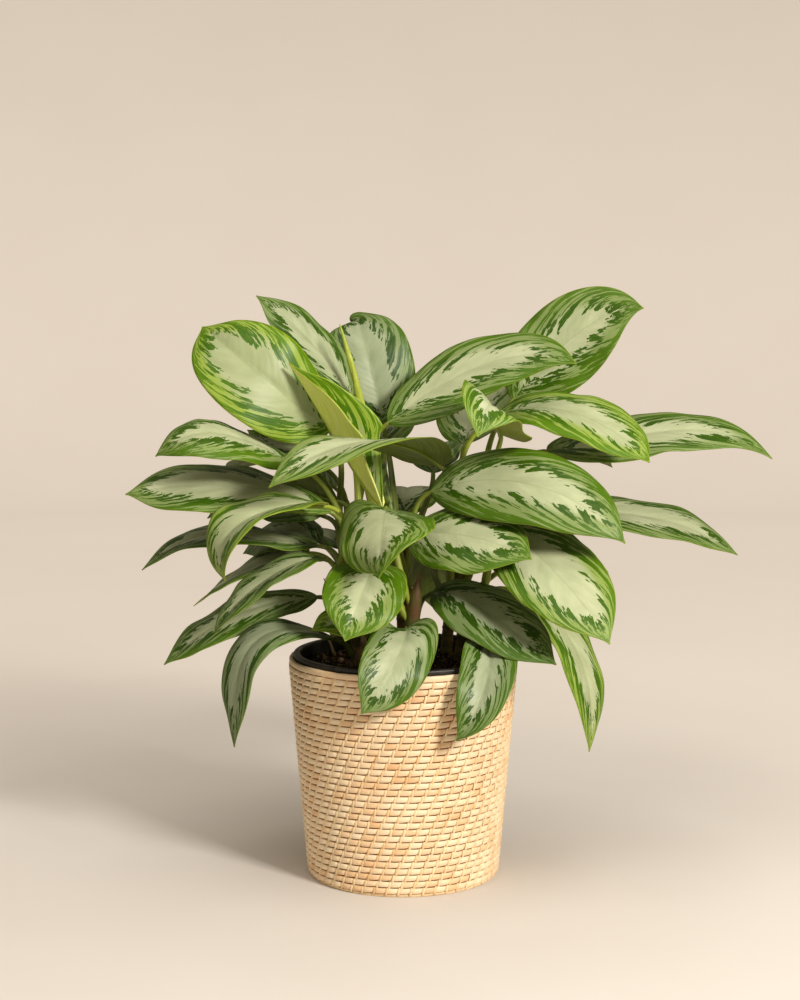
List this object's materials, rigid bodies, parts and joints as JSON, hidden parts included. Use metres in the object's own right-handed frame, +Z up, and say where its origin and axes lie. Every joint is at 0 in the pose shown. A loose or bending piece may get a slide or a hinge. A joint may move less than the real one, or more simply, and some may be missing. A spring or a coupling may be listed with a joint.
{
  "type": "potted chinese evergreen",
  "caption": "Leafy variegated house plant on short canes, standing in a plastic nursery pot inside a tapered woven cane basket.",
  "frame": {"origin": "centre of the basket's flat underside, on the surface that it stands on", "axes": "+Z up; -Y towards the plant's front, the side that the picture shows; +X to the right seen from the front"},
  "size_m": [0.766, 0.4515, 0.7012],
  "materials": {
    "basket_cane": "natural split cane, satin",
    "pot_plastic": "black, matte",
    "potting_soil": "rough, moist peat",
    "stem": "smooth, waxy",
    "leaf": "waxy, semi-gloss, silver-green with green margins"
  },
  "bodies": {
    "root": {"basket": "basket_cane", "nursery_pot": "pot_plastic", "soil": "potting_soil", "cane_left": "stem", "cane_back_left": "stem", "cane_front": "stem", "cane_right": "stem", "cane_back_right": "stem", "cane_young": "stem", "cane_middle": "stem", "leaf_spear": "stem", "leaf_left_01": "leaf", "leaf_left_02": "leaf", "leaf_left_03": "leaf", "leaf_left_04": "leaf", "leaf_left_05": "leaf", "leaf_left_06": "leaf", "leaf_left_07": "leaf", "leaf_left_08": "leaf", "leaf_left_09": "leaf", "leaf_left_10": "leaf", "leaf_left_11": "leaf", "leaf_left_12": "leaf", "leaf_left_13": "leaf", "leaf_left_14": "leaf", "leaf_left_15": "leaf", "leaf_left_16": "leaf", "leaf_left_17": "leaf", "leaf_left_18": "leaf", "leaf_left_19": "leaf", "leaf_front_01": "leaf", "leaf_front_02": "leaf", "leaf_front_03": "leaf", "leaf_middle_01": "leaf", "leaf_right_01": "leaf", "leaf_right_02": "leaf", "leaf_right_03": "leaf", "leaf_right_04": "leaf", "leaf_right_05": "leaf", "leaf_right_06": "leaf", "leaf_right_07": "leaf", "leaf_right_08": "leaf", "leaf_right_09": "leaf", "leaf_right_10": "leaf", "leaf_right_11": "leaf", "leaf_right_12": "leaf", "leaf_back_01": "leaf", "leaf_back_02": "leaf", "leaf_back_03": "leaf", "leaf_back_04": "leaf", "leaf_back_05": "leaf", "leaf_back_06": "leaf", "leaf_back_07": "leaf", "leaf_back_08": "leaf", "leaf_back_09": "leaf", "leaf_back_10": "leaf"}
  },
  "joints": []
}
